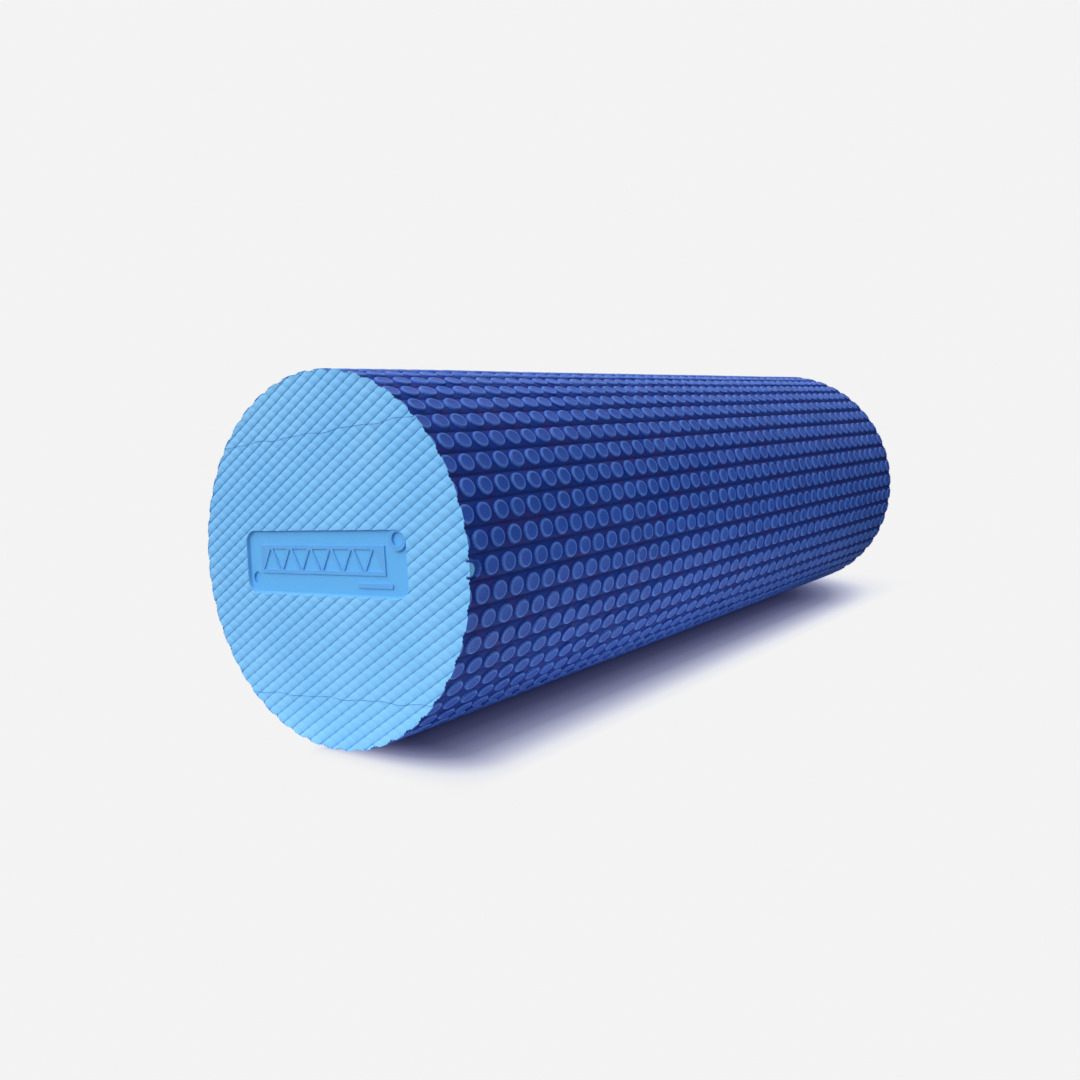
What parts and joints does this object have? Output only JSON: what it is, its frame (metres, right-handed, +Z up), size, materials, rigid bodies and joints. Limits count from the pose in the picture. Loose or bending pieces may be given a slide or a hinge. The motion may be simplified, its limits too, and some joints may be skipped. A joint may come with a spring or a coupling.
{
  "type": "foam roller",
  "caption": "Solid cylindrical foam massage roller with staggered rows of round studs on a thin dark skin and diamond-embossed light end faces.",
  "frame": {"origin": "centre of the bounding box's bottom face: on the floor, under the middle of the lying roller", "axes": "+Y along the roller, from the end face seen from the front at -Y to the far end at +Y; +Z up; +X to the right when looking along +Y"},
  "size_m": [0.15, 0.45, 0.15],
  "materials": {
    "core_foam": "matt closed-cell EVA foam, light blue, embossed at both ends",
    "skin_foam": "satin moulded EVA foam skin, dark blue",
    "glue": "dried contact adhesive, matt"
  },
  "bodies": {
    "root": {"core_top_slab": "core_foam", "core_middle_slab": "core_foam", "core_bottom_slab": "core_foam", "upper_glue_film": "glue", "lower_glue_film": "glue", "stud_skin": "skin_foam"}
  },
  "joints": []
}
